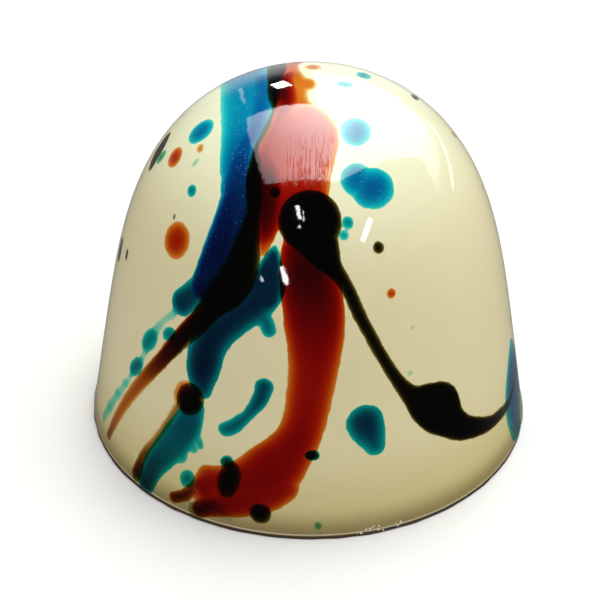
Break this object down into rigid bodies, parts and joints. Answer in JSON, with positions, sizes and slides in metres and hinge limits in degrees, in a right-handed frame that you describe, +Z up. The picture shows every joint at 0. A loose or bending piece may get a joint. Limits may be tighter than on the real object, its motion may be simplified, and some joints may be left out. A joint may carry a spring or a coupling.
{
  "type": "chocolate bonbon",
  "caption": "Tall domed moulded chocolate bonbon with leaning sides, a broad crown and a flat base, glossy ivory with splashes of coloured cocoa butter.",
  "frame": {"origin": "centre of the flat base that the bonbon stands on", "axes": "+Z up along the dome's axis; -Y towards the side with the most colour splashed on it"},
  "size_m": [0.028, 0.028, 0.0233],
  "materials": {
    "chocolate": "glossy ivory white chocolate, splashed with teal, blue, orange-red and black cocoa butter"
  },
  "bodies": {
    "root": {"bonbon": "chocolate"}
  },
  "joints": []
}
